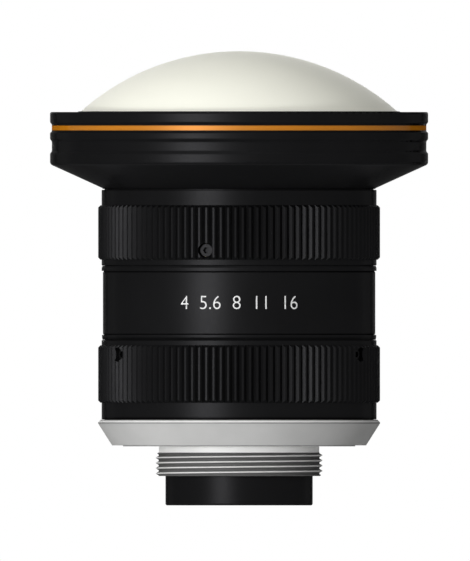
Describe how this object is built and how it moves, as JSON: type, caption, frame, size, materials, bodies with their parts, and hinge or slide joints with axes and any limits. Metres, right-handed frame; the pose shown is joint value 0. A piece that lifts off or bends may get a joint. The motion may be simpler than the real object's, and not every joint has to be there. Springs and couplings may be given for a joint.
{
  "type": "c-mount lens",
  "caption": "Wide-angle C-mount lens with a domed first element in a flared hood, knurled focus and iris rings, and a working blade diaphragm.",
  "frame": {"origin": "centre of the rear barrel's end face, on which the lens stands", "axes": "+Z along the optical axis towards the front element; -Y is the side that carries the scale"},
  "size_m": [0.0576, 0.0576, 0.0693],
  "materials": {
    "black_aluminium": "satin black anodised",
    "orange_accent": "orange anodised",
    "silver_mount": "satin clear anodised",
    "dome_glass": "cream-white, opaque",
    "coated_glass": "polished, coated",
    "blade_steel": "matt black oxide",
    "black_steel": "black oxide",
    "bright_steel": "ground",
    "brass": "turned",
    "scale_paint": "light grey filled engraving"
  },
  "bodies": {
    "mount_body": {"c_mount_ring": "silver_mount", "rear_barrel": "black_aluminium", "rear_element": "coated_glass", "main_barrel": "black_aluminium", "flange_shim": "brass", "rear_spacer": "black_aluminium", "rear_doublet_crown": "coated_glass", "rear_doublet_flint": "coated_glass", "rear_upper_spacer": "black_aluminium", "rear_inner_element": "coated_glass", "rear_retainer": "black_aluminium", "rear_cell_screws": "black_steel", "iris_housing": "black_aluminium", "iris_retainer": "black_aluminium", "helicoid_retaining_ring": "black_aluminium", "guide_pins": "bright_steel", "iris_thrust_ring": "black_aluminium", "focus_thrust_ring": "black_aluminium"},
    "iris_ring": {"iris_ring": "black_aluminium", "iris_drive_pin": "bright_steel", "iris_actuator_ring": "brass", "iris_pin_screw": "black_steel"},
    "focus_ring": {"focus_ring": "black_aluminium", "helicoid_nut": "brass"},
    "front_group": {"hood": "black_aluminium", "front_element": "dome_glass", "front_barrel": "black_aluminium", "front_doublet_crown": "coated_glass", "front_doublet_flint": "coated_glass", "front_spacer": "black_aluminium", "third_element": "coated_glass", "third_retainer": "black_aluminium", "second_element": "coated_glass", "second_retainer": "black_aluminium", "accent_ring": "orange_accent", "front_retainer": "black_aluminium"},
    "iris_blade_1": {"iris_blade_1": "blade_steel"},
    "iris_blade_2": {"iris_blade_2": "blade_steel"},
    "iris_blade_3": {"iris_blade_3": "blade_steel"},
    "iris_blade_4": {"iris_blade_4": "blade_steel"},
    "iris_blade_5": {"iris_blade_5": "blade_steel"},
    "iris_blade_6": {"iris_blade_6": "blade_steel"},
    "iris_lock_screw_1": {"iris_lock_screw_1": "black_steel"},
    "iris_lock_screw_2": {"iris_lock_screw_2": "black_steel"},
    "focus_lock_screw_1": {"focus_lock_screw_1": "black_steel"},
    "focus_lock_screw_2": {"focus_lock_screw_2": "black_steel"},
    "focus_lock_screw_3": {"focus_lock_screw_3": "black_steel"}
  },
  "joints": [
    {"name": "focus_turn", "type": "hinge", "parent": "mount_body", "child": "focus_ring", "pos_m": [0, 0, 0.042], "axis": [0, 0, 1], "range_deg": [0, 270]},
    {"name": "front_slide", "type": "slide", "parent": "mount_body", "child": "front_group", "axis": [0, 0, 1], "range_m": [0, 0.0006]},
    {"name": "iris_turn", "type": "hinge", "parent": "mount_body", "child": "iris_ring", "pos_m": [0, 0, 0.023], "axis": [0, 0, 1], "range_deg": [0, 45]},
    {"name": "iris_blade_1_pivot", "type": "hinge", "parent": "mount_body", "child": "iris_blade_1", "pos_m": [0.00462, 0.01258, 0.021], "axis": [0, 0, 1], "range_deg": [-18, 0]},
    {"name": "iris_blade_2_pivot", "type": "hinge", "parent": "mount_body", "child": "iris_blade_2", "pos_m": [-0.00858, 0.01029, 0.021], "axis": [0, 0, 1], "range_deg": [-18, 0]},
    {"name": "iris_blade_3_pivot", "type": "hinge", "parent": "mount_body", "child": "iris_blade_3", "pos_m": [-0.0132, -0.00228, 0.021], "axis": [0, 0, 1], "range_deg": [-18, 0]},
    {"name": "iris_blade_4_pivot", "type": "hinge", "parent": "mount_body", "child": "iris_blade_4", "pos_m": [-0.00462, -0.01258, 0.021], "axis": [0, 0, 1], "range_deg": [-18, 0]},
    {"name": "iris_blade_5_pivot", "type": "hinge", "parent": "mount_body", "child": "iris_blade_5", "pos_m": [0.00858, -0.01029, 0.021], "axis": [0, 0, 1], "range_deg": [-18, 0]},
    {"name": "iris_blade_6_pivot", "type": "hinge", "parent": "mount_body", "child": "iris_blade_6", "pos_m": [0.0132, 0.00228, 0.021], "axis": [0, 0, 1], "range_deg": [-18, 0]},
    {"name": "iris_lock_screw_1_turn", "type": "hinge", "parent": "iris_ring", "child": "iris_lock_screw_1", "pos_m": [0.01732, -0.01, 0.023], "axis": [0.866, -0.5, 0], "range_deg": [0, 360]},
    {"name": "iris_lock_screw_2_turn", "type": "hinge", "parent": "iris_ring", "child": "iris_lock_screw_2", "pos_m": [-0.01732, -0.01, 0.023], "axis": [-0.866, -0.5, 0], "range_deg": [0, 360]},
    {"name": "focus_lock_screw_1_turn", "type": "hinge", "parent": "focus_ring", "child": "focus_lock_screw_1", "pos_m": [-0.00484, -0.01941, 0.0389], "axis": [-0.2419, -0.9703, 0], "range_deg": [0, 360]},
    {"name": "focus_lock_screw_2_turn", "type": "hinge", "parent": "focus_ring", "child": "focus_lock_screw_2", "pos_m": [0.01923, 0.00551, 0.0389], "axis": [0.9613, 0.2756, 0], "range_deg": [0, 360]},
    {"name": "focus_lock_screw_3_turn", "type": "hinge", "parent": "focus_ring", "child": "focus_lock_screw_3", "pos_m": [-0.01439, 0.01389, 0.0389], "axis": [-0.7193, 0.6947, 0], "range_deg": [0, 360]}
  ],
  "couplings": [
    {"joint": "focus_turn", "follows": "front_slide", "rad_per_m": 7854},
    {"joint": "iris_blade_1_pivot", "follows": "iris_turn", "ratio": -0.4},
    {"joint": "iris_blade_2_pivot", "follows": "iris_turn", "ratio": -0.4},
    {"joint": "iris_blade_3_pivot", "follows": "iris_turn", "ratio": -0.4},
    {"joint": "iris_blade_4_pivot", "follows": "iris_turn", "ratio": -0.4},
    {"joint": "iris_blade_5_pivot", "follows": "iris_turn", "ratio": -0.4},
    {"joint": "iris_blade_6_pivot", "follows": "iris_turn", "ratio": -0.4}
  ]
}
